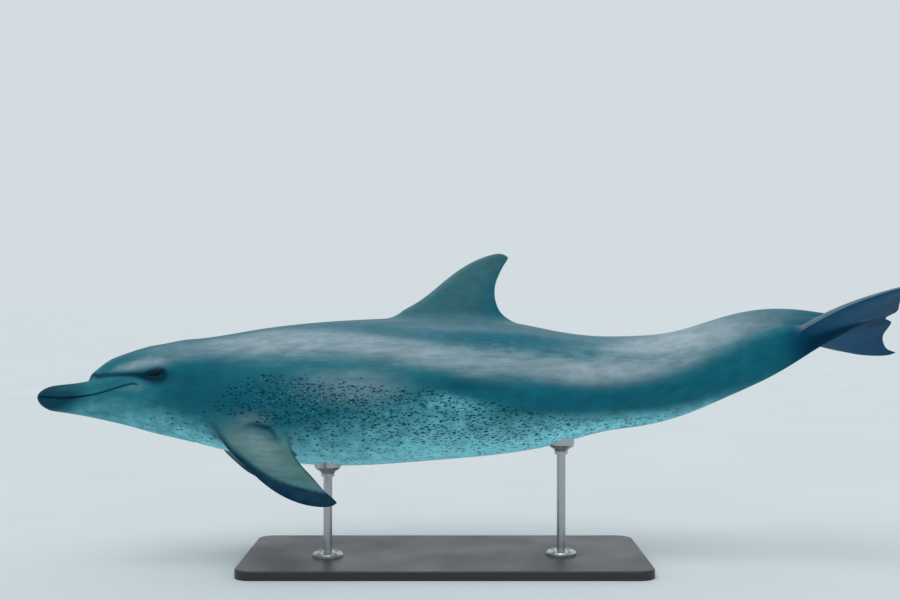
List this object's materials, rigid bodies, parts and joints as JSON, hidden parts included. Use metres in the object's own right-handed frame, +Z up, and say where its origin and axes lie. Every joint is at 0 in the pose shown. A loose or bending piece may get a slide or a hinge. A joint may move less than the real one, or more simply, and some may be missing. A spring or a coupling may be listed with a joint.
{
  "type": "indo-pacific bottlenose dolphin",
  "caption": "Life-size still model of an adult Indo-Pacific bottlenose dolphin, gliding with its tail raised, held by rods over a plain flat display base.",
  "frame": {"origin": "centre of the display base's underside, on the floor", "axes": "+Z up, head towards -X and flukes towards +X, the animal's left side towards -Y"},
  "size_m": [2.3937, 0.5937, 0.8565],
  "materials": {
    "skin": "smooth satin skin, grey cape and flanks over a pale, dark-spotted belly",
    "eye": "gloss, nearly black",
    "stand_base": "black satin lacquer",
    "stand_metal": "brushed"
  },
  "bodies": {
    "root": {"beak_upper": "skin", "lower_jaw": "skin", "head": "skin", "neck": "skin", "chest": "skin", "abdomen": "skin", "loin": "skin", "tail_base": "skin", "tail_stock": "skin", "fluke_root": "skin", "dorsal_fin": "skin", "flipper_left": "skin", "flipper_right": "skin", "fluke_left": "skin", "fluke_right": "skin", "eye_left": "eye", "eye_right": "eye", "stand_base": "stand_base", "stand_rod_front": "stand_metal", "stand_rod_rear": "stand_metal", "stand_flange_front": "stand_metal", "stand_flange_rear": "stand_metal", "stand_saddle_front": "stand_metal", "stand_saddle_rear": "stand_metal"}
  },
  "joints": []
}
